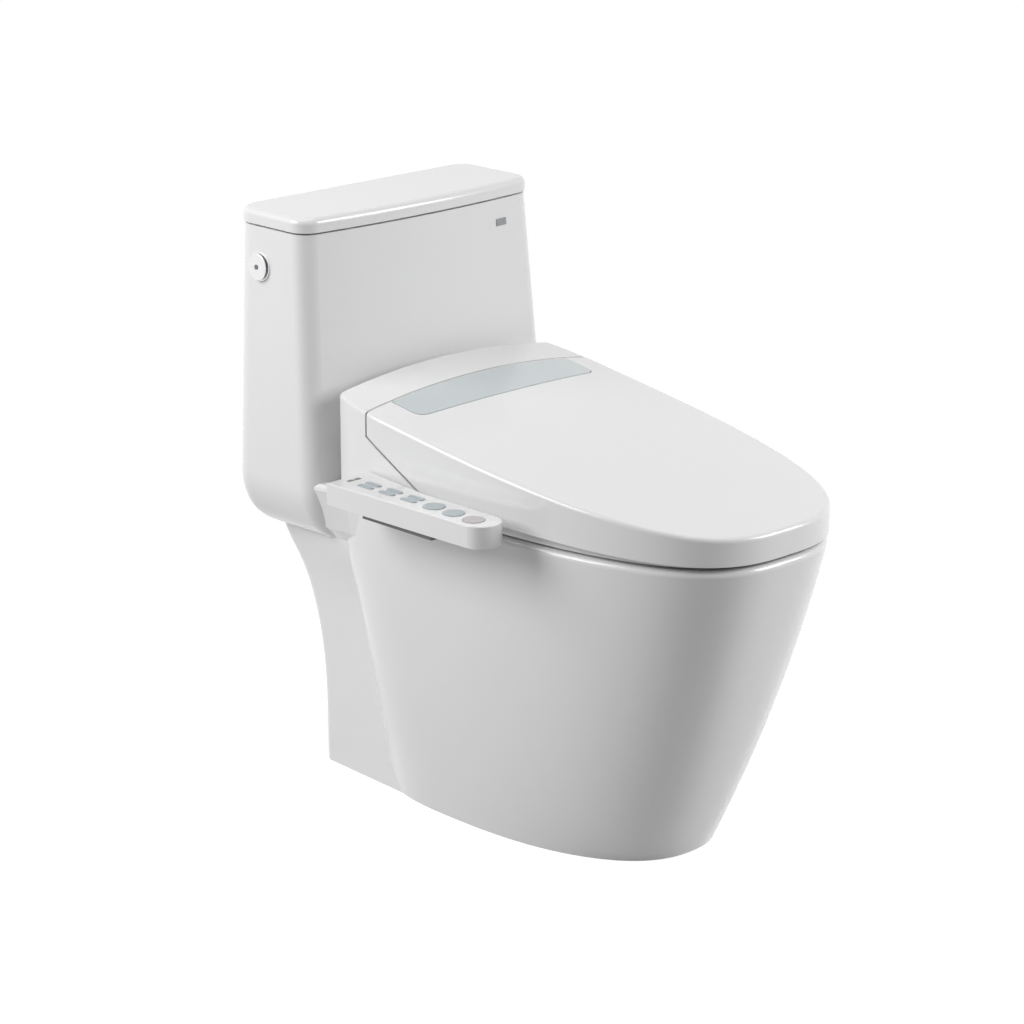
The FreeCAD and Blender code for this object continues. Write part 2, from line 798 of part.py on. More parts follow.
def china():
    """The one-piece china, as six pieces that meet face to face."""
    wall, rim, floor = size("china_wall"), size("rim_height"), size("tank_floor")
    floor_top = floor + size("tank_floor_thick")
    deck_under = rim - size("deck_thick")
    horn_top = size("outlet_depth") + size("outlet_wall")
    sump, sump_y = size("sump_level"), size("sump_y")
    hollow = bowl_form(0, rim + OVERLAP, sump)
    bowl = bowl_form(-wall, rim - OVERLAP, sump - wall)
    trap = trapway(sump_y - wall, 0, size("trap_bore") + size("trap_wall"))
    trap_bore = trapway(sump_y - wall, -OVERLAP, size("trap_bore"))
    channel_half = size("channel_bore") + size("channel_wall")
    channel = rinse_channel(floor_top - SHORT, size("bowl_rear") - wall, channel_half)
    channel_bore = rinse_channel(floor_top + OVERLAP, size("bowl_rear") - DEEP * wall, size("channel_bore"))
    button_hole = Part.makeCylinder(size("button_hole"), DEEP * wall)
    button_hole.Placement = button_placement(-DEEP * wall / 2)
    valve_y, fill_x, fill_y = size("valve_y"), size("fill_x"), size("fill_y")
    outside = tank_form()
    inside = tank_block(floor_top, size("tank_top") + OVERLAP, wall, size("tank_inner_round"), 0)
    solid("china_tank", carved(outside, [
        inside, channel_bore, button_hole,
        upright_hole(size("valve_hole"), 0, valve_y, floor_top - size("valve_recess"), floor_top + OVERLAP),
        upright_hole(size("fill_hole"), fill_x, fill_y, floor - OVERLAP, floor_top + OVERLAP)]))

    shell = foot_shell().cut(outside)
    bolt_holes = [upright_hole(size("seat_bolt_hole"), side * size("seat_bolt_x"), size("seat_bolt_y"),
                               deck_under - OVERLAP, rim + OVERLAP) for side in (-1, 1)]
    solid("china_deck", carved(shell.common(slab_between(deck_under, SKY)), [hollow] + bolt_holes))
    solid("china_foot", carved(shell.common(slab_between(-OVERLAP, deck_under)), [bowl]))
    solid("china_bowl", carved(bowl.common(slab_between(0, deck_under)), [hollow, trap_bore, channel_bore]))

    ducts = joined(trap, [channel]).common(slab_between(horn_top, SKY))
    solid("china_ducts", carved(ducts, [bowl, outside, trap_bore, channel_bore]))
    horn = Part.makeCylinder(size("outlet_bore") + size("outlet_wall"), horn_top)
    outlet = upright_hole(size("outlet_bore"), 0, 0, -OVERLAP, size("outlet_depth"))
    solid("china_outlet", carved(horn, [outlet, trap_bore]))


def wall_lean():
    """How far the tank's side wall comes in for each millimetre of height."""
    return (size("tank_half_low") - size("tank_half_top")) / (size("tank_top") - size("tank_floor"))


def button_placement(along):
    """A frame on the tank's side wall at the button, with +Z pointing out of the wall."""
    outward = V(-1, 0, wall_lean()).normalize()
    half = size("tank_half_top") + wall_lean() * (size("tank_top") - size("button_z"))
    spot = V(-half, size("button_y"), size("button_z")) + outward * along
    return FreeCAD.Placement(spot, FreeCAD.Rotation(V(0, 0, 1), outward))


def badge():
    """A plain plate that follows the bow of the tank's front."""
    low, high = size("badge_z") - size("badge_height") / 2, size("badge_z") + size("badge_height") / 2
    skins = [Part.makeLoft([tank_section(low, inset), tank_section(high, inset)], True, True)
             for inset in (-size("badge_thick"), 0)]
    corner = V(size("badge_x") - size("badge_length") / 2, 0, low)
    depth = size("tank_front_top") + size("tank_front_corner")
    patch = Part.makeBox(size("badge_length"), depth, high - low, corner)
    return patch.common(skins[0]).cut(skins[1])


# ---------------------------------------------------------------- tank parts

def lid_plan(z, inset, height):
    """A slab with the tank's top plan, drawn in by an inset."""
    wire = tank_section(size("tank_top"), inset)
    wire.translate(V(0, 0, z - size("tank_top")))
    return Part.Face(wire).extrude(V(0, 0, height))


def tank_lid():
    under = size("tank_top") + size("pad_thick")
    slab = lid_plan(under, -size("tank_lid_overhang"), size("tank_lid_thick"))
    slab = slab.makeFillet(size("tank_lid_round"), level_edges(slab, under + size("tank_lid_thick")))
    rib_inset = size("china_wall") + size("tank_lid_gap")
    rib_base = under - size("tank_lid_rib")
    rib = lid_plan(rib_base, rib_inset, size("tank_lid_rib"))
    rib = carved(rib, [lid_plan(rib_base, rib_inset + size("tank_lid_rib_wall"), size("tank_lid_rib"))])
    return joined(slab, [rib])


def tank_lid_pads():
    height = "pad_thick-rest_gap"
    front, back = "tank_front_top+pad_front", "tank_back-pad_inset"
    return name(group(*[rod("pad_round", height, f"{side}pad_x", y, "tank_top+rest_gap")
                        for side in ("-", "") for y in (front, back)]), "tank_lid_pads")


def outlet_gasket():
    inner = "outlet_bore+outlet_wall"
    ring = cut(rod(f"{inner}+gasket_wall", "gasket_thick", z="gasket_lift"),
               rod(inner, "gasket_thick", z="gasket_lift"))
    return name(ring, "outlet_gasket")


BUTTON_LEAN = "((tank_half_low-tank_half_top)/(tank_top-tank_floor))"
BUTTON_X = f"-(tank_half_top+{BUTTON_LEAN}*(tank_top-button_z))"


def at_button(item):
    """Puts an object on the tank's side wall, with its +Z out of the wall."""
    return place(item, BUTTON_X, "button_y", "button_z", button_placement(0).Rotation)


def flush_button_parts():
    """A push button in a bezel whose sleeve goes through the wall into a nut."""
    bore = "stem_half+stem_play"
    at_button(turned("button_bezel", [
        ("0", "-sleeve_length-button_thick"), ("sleeve_half", "-sleeve_length-button_thick"),
        ("sleeve_half", "0"), ("bezel_half", "0"), ("bezel_half", "bezel_thick-bezel_rim/2"),
        ("bezel_half-bezel_rim/2", "bezel_thick"), (bore, "bezel_thick"), (bore, "-sleeve_length"),
        ("0", "-sleeve_length")]))
    face = "(bezel_thick+rest_gap+button_travel)"
    rim = "bezel_half-bezel_rim"
    at_button(turned("flush_button", [
        ("0", "button_travel+rest_gap-sleeve_length"), ("stem_half", "button_travel+rest_gap-sleeve_length"),
        ("stem_half", face), (rim, face), (rim, f"{face}+button_thick-button_edge"),
        (f"{rim}-button_edge", f"{face}+button_thick"), ("0", f"{face}+button_thick")]))
    at_button(turned("button_dot", [
        ("0", f"{face}+button_thick"), ("dot_half", f"{face}+button_thick"),
        ("dot_half", f"{face}+button_thick+dot_thick"), ("0", f"{face}+button_thick+dot_thick")]))
    inner_wall = "(-china_wall-button_nut_thick)"
    nut = plate(None, hexagon("button_nut_half"), "button_nut_thick", z=inner_wall)
    nut = cut(nut, rod("sleeve_half+nut_play", "button_nut_thick", z=inner_wall))
    name(at_button(group(nut)), "button_nut")


FLOOR_TOP = "(tank_floor+tank_floor_thick)"
SEAT_TOP = f"({FLOOR_TOP}+valve_gasket_thick+valve_seat_height)"


def flush_valve():
    """Gasket, fixed tower with its seat, and the canister that lifts off the seat."""
    above = f"{FLOOR_TOP}+valve_gasket_thick"
    gasket = cut(rod("valve_flange", "valve_gasket_thick", y="valve_y", z=FLOOR_TOP),
                 rod("valve_hole", "valve_gasket_thick", y="valve_y", z=FLOOR_TOP))
    name(gasket, "valve_gasket")
    seat = turned(None, [
        ("valve_throat", "0"), ("valve_flange", "0"), ("valve_flange", "valve_flange_thick"),
        ("valve_hole", "valve_flange_thick"), ("seal_half-seal_thick", "valve_seat_height-seal_thick"),
        ("seal_half-seal_thick", "valve_seat_height"), ("valve_throat", "valve_seat_height")],
        y="valve_y", z=above)
    spider = [block("2*valve_throat+tower_wall", "tower_wall", "valve_flange_thick",
                    "-valve_throat-tower_wall/2", "valve_y-tower_wall/2", above),
              block("tower_wall", "2*valve_throat+tower_wall", "valve_flange_thick",
                    "-tower_wall/2", "valve_y-valve_throat-tower_wall/2", above)]
    tower = cut(rod("tower_half", "tower_height", y="valve_y", z=above),
                rod("tower_half-tower_wall", "tower_height-tower_wall", y="valve_y", z=f"{above}-tower_wall"))
    head = rod("tower_head_half", "tower_head_height", y="valve_y", z=f"{above}+tower_height")
    name(fuse(seat, tower, head, *spider), "flush_valve_body")
    seal_z = f"{SEAT_TOP}+rest_gap"
    name(cut(rod("seal_half", "seal_thick", y="valve_y", z=seal_z),
             rod("canister_bore", "seal_thick", y="valve_y", z=seal_z)), "canister_seal")
    turned("flush_canister", [
        ("canister_bore", "0"), ("canister_half", "0"), ("canister_half", "canister_height"),
        ("canister_half-tower_wall", "canister_height"), ("canister_half-tower_wall", "seal_thick"),
        ("canister_bore+tower_wall", "seal_thick"), ("canister_bore+tower_wall", "canister_height"),
        ("canister_bore", "canister_height")], y="valve_y", z=f"{seal_z}+seal_thick")


def fill_valve():
    """Shank through the tank floor, column, head, float, and the nut below."""
    x, y = "fill_x", "fill_y"
    flange = rod("fill_flange_half", "fill_flange_thick", x, y, FLOOR_TOP)
    low_end = f"({FLOOR_TOP}-shank_length)"
    shank = rod("shank_half", "shank_free", x, y, low_end)
    neck = rod("neck_half", "shank_neck", x, y, f"{low_end}+shank_free")
    thread_z = f"{low_end}+shank_free+shank_neck"
    thread = rod("thread_half", "shank_length-shank_free-shank_neck", x, y, thread_z)
    column = rod("fill_column_half", "fill_height", x, y, FLOOR_TOP)
    head = rod("fill_head_half", "fill_head_height", x, y, f"{FLOOR_TOP}+fill_height")
    name(fuse(flange, shank, neck, thread, column, head), "fill_valve_body")
    low = f"{FLOOR_TOP}+float_low"
    name(cut(rod("float_half", "float_height", x, y, low),
             rod("fill_column_half+float_play", "float_height", x, y, low)), "fill_valve_float")
    washer_z = "tank_floor-washer_thick"
    name(cut(rod("fill_nut_half", "washer_thick", x, y, washer_z),
             rod("thread_half+nut_play", "washer_thick", x, y, washer_z)), "fill_valve_washer")
    nut = plate(None, hexagon("fill_nut_half"), "fill_nut_thick", x, y, f"{washer_z}-fill_nut_thick")
    name(cut(nut, rod("thread_half+nut_play", "fill_nut_thick", x, y, f"{washer_z}-fill_nut_thick")),
         "fill_valve_nut")


def refill_tube():
    """From the fill valve's head over to the top of the flush valve."""
    fill_top = size("tank_floor") + size("tank_floor_thick") + size("fill_height") + size("fill_head_height")
    tower_top = tower_head_top()
    crest = fill_top + size("refill_rise")
    end_x = size("tower_head_half") / 2
    points = [V(size("fill_x"), size("fill_y"), fill_top), V(size("fill_x"), size("fill_y"), crest),
              V(end_x, size("valve_y"), crest), V(end_x, size("valve_y"), tower_top)]
    return tube_along(rounded_path(points, size("tube_bend")), size("tube_half"))


def tower_head_top():
    return (size("tank_floor") + size("tank_floor_thick") + size("valve_gasket_thick") + size("tower_height")
            + size("tower_head_height"))


def flush_cable():
    """From the inner end of the button's sleeve to the top of the flush valve."""
    sleeve_end = -size("sleeve_length") - size("button_thick")
    start = button_placement(sleeve_end).Base
    ahead = button_placement(sleeve_end - size("cable_run")).Base
    end_x = -size("tower_head_half") / 2
    crest = size("cable_crest")
    points = [start, ahead, V(-size("cable_run"), size("valve_y"), crest), V(end_x, size("valve_y"), crest),
              V(end_x, size("valve_y"), tower_head_top())]
    return tube_along(rounded_path(points, size("tube_bend")), size("cable_half"))


# ---------------------------------------------------------------- seat unit: shared forms

def top_z(x, y, drop=0.0):
    """Height of the seat unit's crowned top."""
    share = (y + size("lid_front")) / (size("unit_rear_y") + size("lid_front"))
    edge = size("lid_edge_front") + (size("unit_edge_rear") - size("lid_edge_front")) * share
    crown = size("crown_front") + (size("crown_rear") - size("crown_front")) * share
    return edge + crown * (1 - (x / size("lid_half")) ** 2) - drop


def roof(drop):
    """Everything above the seat unit's crowned top, lowered by a drop."""
    wires = []
    for y in (-size("lid_front") - 2 * OVERLAP, size("unit_rear_y") + 2 * OVERLAP):
        left, right = V(-WIDE, y, top_z(-WIDE, y, drop)), V(WIDE, y, top_z(WIDE, y, drop))
        arc = Part.Arc(left, V(0, y, top_z(0, y, drop)), right).toShape()
        sides = Part.makePolygon([right, V(WIDE, y, SKY), V(-WIDE, y, SKY), left])
        wires.append(Part.Wire([arc] + sides.Edges))
    return Part.makeLoft(wires, True, True)


OUTLINE_STEPS = 32


def unit_outline(inset, z):
    """The seat unit's plan: a rounded front, and sides that draw in to the rear."""
    half = size("lid_half") - inset
    wide_y, rear_y = size("lid_wide_y"), size("unit_rear_y")
    reach = size("lid_front") + wide_y - inset
    points = []
    for i in range(OUTLINE_STEPS + 1):
        angle = math.pi + math.pi * i / OUTLINE_STEPS
        r = super_radius(angle, half, reach, size("lid_power"))
        points.append(V(r * math.cos(angle), wide_y + r * math.sin(angle), z))
    front = Part.BSplineCurve()
    front.interpolate(Points=points, InitialTangent=V(0, -1, 0), FinalTangent=V(0, 1, 0))
    rear_half = size("unit_rear_half") - inset
    middle_half = half - (half - rear_half) / 4
    middle_y = (wide_y + rear_y) / 2
    right = Part.Arc(points[-1], V(middle_half, middle_y, z), V(rear_half, rear_y, z)).toShape()
    left = Part.Arc(V(-rear_half, rear_y, z), V(-middle_half, middle_y, z), points[0]).toShape()
    rear = Part.LineSegment(V(rear_half, rear_y, z), V(-rear_half, rear_y, z)).toShape()
    return Part.Wire([front.toShape(), right, rear, left])


def prism(wire, height):
    return Part.Face(wire).extrude(V(0, 0, height))


def side_prism(points, low_x, high_x):
    """A slab across the unit with a side outline in (Y, Z)."""
    corners = [V(low_x, y, z) for y, z in points]
    return Part.Face(Part.makePolygon(corners + corners[:1])).extrude(V(high_x - low_x, 0, 0))


def parting_slope():
    return (size("parting_high_z") - size("parting_low_z")) / (size("lid_rear_y") - size("parting_low_y"))


def parting_z(y, drop=0.0):
    """Height of the slanted parting line on the unit's sides, moved down square to itself by a drop."""
    rise = size("parting_low_z") + parting_slope() * (y - size("parting_low_y"))
    return rise - drop * math.hypot(1, parting_slope())


def crest_edges(shape, height_at, skipped_y=SKY):
    """Edges whose middle is on a top surface, except the one near a given depth."""
    found = []
    for edge in shape.Edges:
        spot = edge.valueAt((edge.FirstParameter + edge.LastParameter) / 2)
        if abs(spot.z - height_at(spot.x, spot.y)) < 0.5 and abs(spot.y - skipped_y) > OVERLAP:
            found.append(edge)
    return found


def unit_hollow(inset):
    """The seat unit's whole form, drawn in by an inset, with a sharp top edge."""
    base = size("rim_height")
    form = prism(unit_outline(inset, base), SKY - base)
    corners = upright_edges(form, SKY - base, size("unit_rear_y") - OVERLAP, SKY)
    return form.makeFillet(size("housing_corner") - inset, corners).cut(roof(inset))


def unit_blank():
    """The seat unit's whole outer form, with its top edge rounded."""
    form = unit_hollow(0)
    return form.makeFillet(size("lid_edge_round"), crest_edges(form, top_z))


def hinge_rod(radius, low_x, high_x):
    """A round bar on the hinge axis."""
    return Part.makeCylinder(radius, high_x - low_x, V(low_x, size("hinge_y"), size("hinge_z")), V(1, 0, 0))


def both_sides(low_x, high_x):
    return ((low_x, high_x), (-high_x, -low_x))


# ---------------------------------------------------------------- lid

def strip_plan(play, top_drop, bottom_drop):
    """The accent strip's block between two drops below the lid's top, grown sideways by a play."""
    half = size("strip_half") + play
    rear = size("lid_rear_y") - size("strip_rear_gap") + play
    side, middle = size("strip_front_side") - play, size("strip_front_mid") - play
    z = size("hinge_z")
    arc = Part.Arc(V(-half, side, z), V(0, middle, z), V(half, side, z)).toShape()
    sides = Part.makePolygon([V(half, side, z), V(half, rear, z), V(-half, rear, z), V(-half, side, z)])
    height = SKY - z
    block_shape = prism(Part.Wire([arc] + sides.Edges), height)
    corner = size("strip_corner") + play
    block_shape = block_shape.makeFillet(corner, upright_edges(block_shape, height, 0, side + OVERLAP))
    return block_shape.common(roof(bottom_drop)).cut(roof(top_drop))


def seat_lid():
    front, rear = -size("lid_front") - OVERLAP, size("lid_rear_y")
    meet_z = size("lid_under_rear")
    meet_y = size("parting_low_y") + (meet_z - size("parting_low_z")) / parting_slope()
    outline = [(front, size("lid_under_front")), (meet_y, meet_z), (rear, size("parting_high_z")),
               (rear, SKY), (front, SKY)]
    wall = size("lid_wall")
    lid = unit_blank().common(side_prism(outline, -WIDE, WIDE)).cut(unit_hollow(wall))

    hinge_y, hinge_z = size("hinge_y"), size("hinge_z")
    boss = size("boss_half")
    near, far = hinge_y - boss, hinge_y + boss
    ear_plan = [(near, hinge_z), (far, hinge_z), (far, SKY), (near, SKY)]
    above = roof(size("strip_sunk") + size("strip_play"))
    for low_x, high_x in both_sides(size("lid_ear_x"), size("lid_ear_x") + size("ear_thick")):
        ear = side_prism(ear_plan, low_x, high_x).cut(above)
        lid = joined(lid, [ear, hinge_rod(boss, low_x, high_x)])
        lid = lid.cut(hinge_rod(size("pin_half") + size("pin_play"), low_x - OVERLAP, high_x + OVERLAP))
    return lid.cut(strip_plan(size("strip_play"), -size("strip_proud") - OVERLAP, size("strip_sunk")))


def accent_strip():
    return strip_plan(0, -size("strip_proud"), size("strip_sunk"))


def ring_top(y):
    front = -size("lid_front") + size("ring_inset")
    share = (y - front) / (size("ring_rear_y") - front)
    return size("ring_top_front") + (size("ring_top_rear") - size("ring_top_front")) * share


def lid_bumpers():
    y, half = size("lid_bumper_y"), size("lid_bumper_half")
    low = ring_top(y + half) + size("rest_gap")
    shapes = [upright_hole(half, x, y, low, SKY).cut(roof(size("lid_wall")))
              for x in (-size("lid_bumper_x"), size("lid_bumper_x"))]
    return Part.makeCompound(shapes)


# ---------------------------------------------------------------- heated ring

def ring_form(inset, bottom, top_inset):
    """The ring's solid form, drawn in by an inset, from a bottom height to below its top."""
    front, rear = -size("lid_front") - OVERLAP, size("ring_rear_y") - inset
    outline = [(front, bottom), (rear, bottom), (rear, ring_top(rear) - top_inset),
               (front, ring_top(front) - top_inset)]
    form = prism(unit_outline(size("ring_inset") + inset, bottom), SKY - bottom)
    form = form.common(side_prism(outline, -WIDE, WIDE))
    middle = (size("hole_front") + size("hole_rear")) / 2
    hole = oval(size("hole_half") + inset, size("hole_front") - inset, size("hole_rear") + inset, middle,
                size("hole_power"), size("hole_power"), bottom - OVERLAP)
    return form.cut(prism(hole, SKY - bottom))


def notch(grown):
    """The passage for the nozzles under the rear of the ring."""
    half = size("notch_half") + grown
    low, rear = size("ring_under") - OVERLAP, size("ring_rear_y") + OVERLAP
    length = rear - (size("hole_front") + size("hole_rear")) / 2
    return Part.makeBox(2 * half, length, size("notch_top") + grown - low, V(-half, rear - length, low))


def seat_ring():
    under, wall = size("ring_under"), size("ring_wall")
    outer = ring_form(0, under, 0)
    crest = crest_edges(outer, lambda x, y: ring_top(y), size("ring_rear_y"))
    outer = outer.makeFillet(size("ring_round"), crest)
    outer = outer.cut(notch(0))
    inner = ring_form(wall, under - OVERLAP, wall).cut(notch(wall))
    ring = outer.cut(inner)
    hinge_y, hinge_z, boss = size("hinge_y"), size("hinge_z"), size("boss_half")
    start = size("ring_rear_y") - wall / 2
    arm = [(start, size("arm_root_low")), (hinge_y, hinge_z - boss), (hinge_y, hinge_z + boss / 2),
           (start, size("arm_root_high"))]
    first = size("lid_ear_x") + 2 * size("ear_thick") + 2 * size("ear_gap")
    for low_x, high_x in both_sides(first, first + size("ear_thick")):
        ring = joined(ring, [side_prism(arm, low_x, high_x), hinge_rod(boss, low_x, high_x)])
        ring = ring.cut(hinge_rod(size("pin_half") + size("pin_play"), low_x - OVERLAP, high_x + OVERLAP))
    return ring


def seat_ring_base():
    play = size("ring_wall") + size("ring_play")
    plate_shape = ring_form(play, size("ring_under"), 0).cut(notch(play))
    keep = Part.makeBox(2 * WIDE, 2 * SKY, size("ring_plate_thick"), V(-WIDE, -SKY, size("ring_under")))
    return plate_shape.common(keep)


def seat_heater():
    """The heating mat under the ring's top."""
    inset = size("ring_wall") + 2 * size("ring_play")
    under, wall = size("ring_under"), size("ring_wall")
    mat = ring_form(inset, under, wall)
    below = ring_form(inset - size("ring_play"), under - OVERLAP, wall + size("heater_thick"))
    return mat.cut(below).cut(notch(inset))


def ring_bumpers():
    low = size("rim_height") + size("rest_gap")
    spots = [(s * size("ring_bumper_front_x"), size("ring_bumper_front_y")) for s in (-1, 1)]
    spots += [(s * size("ring_bumper_rear_x"), size("ring_bumper_rear_y")) for s in (-1, 1)]
    half, high = size("ring_bumper_half"), size("ring_under")
    return Part.makeCompound([upright_hole(half, x, y, low, high) for x, y in spots])


# ---------------------------------------------------------------- housing

def barrel(grown):
    """The space the lid's rear edge sweeps round the hinge axis."""
    back = size("lid_rear_y") - size("hinge_y")
    points = []
    for i in range(-4, 5):
        x = WIDE * i / 4
        reach = math.hypot(back, top_z(x, size("lid_rear_y")) - size("hinge_z"))
        points.append(V(x, size("hinge_y"), size("hinge_z") + reach + size("barrel_gap") + grown))
    curve = Part.BSplineCurve()
    curve.interpolate(points)
    left, right = V(-WIDE, size("hinge_y"), size("hinge_z")), V(WIDE, size("hinge_y"), size("hinge_z"))
    sides = [Part.LineSegment(points[-1], right).toShape(), Part.LineSegment(right, left).toShape(),
             Part.LineSegment(left, points[0]).toShape()]
    face = Part.Face(Part.Wire([curve.toShape()] + sides))
    return face.revolve(left, V(1, 0, 0), 360)


def housing_form(blank, inset, bottom):
    """The part of a blank behind and below the slanted parting line, drawn in by an inset."""
    front = size("parting_low_y") + inset + size("nose_setback")
    gap = size("parting_gap") + inset
    step = size("lid_rear_y") + gap
    rear = size("unit_rear_y") - inset
    outline = [(front, bottom), (front, parting_z(front, gap)), (step, parting_z(step, gap)),
               (step, SKY), (rear, SKY), (rear, bottom)]
    return blank.common(side_prism(outline, -WIDE, WIDE)).cut(barrel(inset))


def rear_housing():
    wall = size("shell_wall")
    bottom = size("rim_height") + size("plate_thick") + size("base_thick")
    outer = housing_form(unit_blank(), 0, bottom)
    inner = housing_form(unit_hollow(wall), wall, bottom - OVERLAP)
    front, half = size("parting_low_y") + size("nose_setback"), size("nose_half")
    depth, height = size("nose_back") - front, size("nose_top") - bottom
    nose = Part.makeBox(2 * half, depth, height, V(-half, front, bottom))
    nose_room = Part.makeBox(2 * (half - wall), depth - wall, height - wall + OVERLAP,
                             V(wall - half, front + wall, bottom - OVERLAP))
    port = Part.makeBox(2 * size("port_half"), DEEP * wall, size("port_high") - size("port_low"),
                        V(-size("port_half"), front - wall, size("port_low")))
    shell = carved(joined(outer, [nose]), [inner, nose_room, port])
    return hinge_lugs(side_holes(shell))


def side_holes(shell):
    """Holes in the right wall for the water inlet and the cord."""
    start = size("lid_half") - size("side_hole_depth")
    for y, z, radius in ((size("inlet_y"), size("inlet_z"), size("inlet_spigot")),
                         (size("gland_y"), size("gland_z"), size("gland_spigot"))):
        depth = size("side_hole_depth") + OVERLAP
        tool = Part.makeCylinder(radius + size("hole_play"), depth, V(start, y, z), V(1, 0, 0))
        shell = shell.cut(tool)
    return shell


def hinge_lugs(shell):
    """Stems up from the slanted wall that hold the hinge pins and the dampers."""
    hinge_y, hinge_z, boss = size("hinge_y"), size("hinge_z"), size("boss_half")
    gap = size("parting_gap") + size("shell_wall") / 2
    first = size("lid_ear_x") + size("ear_thick") + size("ear_gap")
    cradle = size("cradle_x")
    lugs = [(first, boss, size("pin_half") + size("pin_seat")),
            (cradle, size("damper_seat"), size("damper_half") + size("pin_seat"))]
    for low, radius, bore in lugs:
        high = low + size("ear_thick")
        near, far = hinge_y - radius, hinge_y + radius - size("lug_back_cut")
        stem = [(near, parting_z(near, gap)), (far, parting_z(far, gap)), (far, hinge_z), (near, hinge_z)]
        for low_x, high_x in both_sides(low, high):
            shell = joined(shell, [side_prism(stem, low_x, high_x), hinge_rod(radius, low_x, high_x)])
            shell = shell.cut(hinge_rod(bore, low_x - SHORT, high_x + SHORT))
    return shell


def hinge_pins():
    start = size("damper_end_x")
    end = size("lid_ear_x") + 3 * size("ear_thick") + 4 * size("ear_gap")
    return Part.makeCompound([hinge_rod(size("pin_half"), low, high) for low, high in both_sides(start, end)])


def soft_close_dampers():
    end = size("damper_end_x")
    spans = both_sides(end - size("damper_length"), end)
    return Part.makeCompound([hinge_rod(size("damper_half"), low, high) for low, high in spans])


# ---------------------------------------------------------------- mounting, base and inner parts

PLATE_TOP = "(rim_height+plate_thick)"
BASE_TOP = "(rim_height+plate_thick+base_thick)"


def each_side(make):
    return [make(side) for side in ("-", "")]


def mounting():
    """Plate screwed to the deck, with bolts that reach nuts below it."""
    sheet_plate = block("2*plate_half", "plate_rear-plate_front", "plate_thick",
                        "-plate_half", "plate_front", "rim_height")
    holes = each_side(lambda side: rod("seat_bolt_half+nut_play", "plate_thick",
                                       f"{side}seat_bolt_x", "seat_bolt_y", "rim_height"))
    name(cut(sheet_plate, *holes), "mounting_plate")
    nut_z = "(rim_height-deck_thick-seat_nut_thick)"
    bolts, nuts = [], []
    for side in ("-", ""):
        x = f"{side}seat_bolt_x"
        head = rod("bolt_head_half", "bolt_head_thick", x, "seat_bolt_y", PLATE_TOP)
        shank = rod("seat_bolt_half", f"{PLATE_TOP}-{nut_z}+sleeve_drop",
                    x, "seat_bolt_y", f"{nut_z}-sleeve_drop")
        bolts.append(fuse(head, shank))
        nut = plate(None, hexagon("seat_nut_half"), "seat_nut_thick", x, "seat_bolt_y", nut_z)
        nuts.append(cut(nut, rod("seat_bolt_half+nut_play", "seat_nut_thick", x, "seat_bolt_y", nut_z)))
    name(group(*bolts), "seat_bolts")
    name(group(*nuts), "seat_bolt_nuts")


def seat_base():
    """Floor of the housing, with a bracket out to the control arm."""
    bottom = size("rim_height") + size("plate_thick")
    thick = size("base_thick")
    front = size("parting_low_y") + size("nose_setback") + thick
    rear = size("unit_rear_y") - size("nose_setback")
    floor = prism(unit_outline(thick, bottom), thick)
    outline = [(front, bottom), (rear, bottom), (rear, bottom + thick), (front, bottom + thick)]
    floor = floor.common(side_prism(outline, -WIDE, WIDE))
    y, width = size("bracket_y"), size("bracket_width")
    arm_under = size("arm_top") - size("arm_thick")
    inner, outer = -size("unit_rear_half") + OVERLAP, -size("bracket_end")
    bracket = Part.makeBox(inner - outer, width, thick, V(outer, y, bottom))
    step = Part.makeBox(-size("arm_inner_rear") - outer, width, arm_under - bottom, V(outer, y, bottom))
    radius = size("bolt_head_half") + size("bolt_head_room")
    bolt_x, bolt_y = size("seat_bolt_x"), size("seat_bolt_y")
    holes = [upright_hole(radius, s * bolt_x, bolt_y, bottom, bottom + thick) for s in (-1, 1)]
    return carved(joined(floor, [bracket, step]), holes)


def nozzle_frame(x, back):
    """A frame on a nozzle's axis, a distance back from its tip, with +Z along it towards the rear."""
    tilt = math.radians(size("nozzle_tilt"))
    along = V(0, math.cos(tilt), math.sin(tilt))
    tip = V(x, size("parting_low_y") + size("nose_setback") + size("nozzle_setback"), size("nozzle_tip_z"))
    return FreeCAD.Placement(tip + along * back, FreeCAD.Rotation(V(0, 0, 1), along))


def nozzle(x):
    bar = Part.makeCylinder(size("nozzle_half"), size("nozzle_length"))
    bar = bar.makeFillet(size("nozzle_half") / 2, level_edges(bar, 0))
    jet = Part.makeCylinder(size("jet_half"), size("nozzle_half"), V(0, 0, size("jet_back")), V(0, 1, 0))
    bar = bar.cut(jet)
    bar.Placement = nozzle_frame(x, 0)
    return bar


def nozzle_holder():
    """A wedge on the base with a bore for each nozzle."""
    bottom = size("rim_height") + size("plate_thick") + size("base_thick")
    front, rear = size("holder_front"), size("holder_rear")
    tilt = math.radians(size("nozzle_tilt"))
    tip_y = size("parting_low_y") + size("nose_setback") + size("nozzle_setback")

    def crest(y):
        return size("nozzle_tip_z") + (y - tip_y) * math.tan(tilt) + size("nozzle_half") + size("holder_wall")

    outline = [(front, bottom), (rear, bottom), (rear, crest(rear)), (front, crest(front))]
    form = side_prism(outline, -size("holder_half"), size("holder_half"))
    for x in (-size("nozzle_x"), size("nozzle_x")):
        tool = Part.makeCylinder(size("nozzle_half") + size("nozzle_play"), size("nozzle_length"))
        tool.Placement = nozzle_frame(x, 0)
        form = form.cut(tool)
    return form


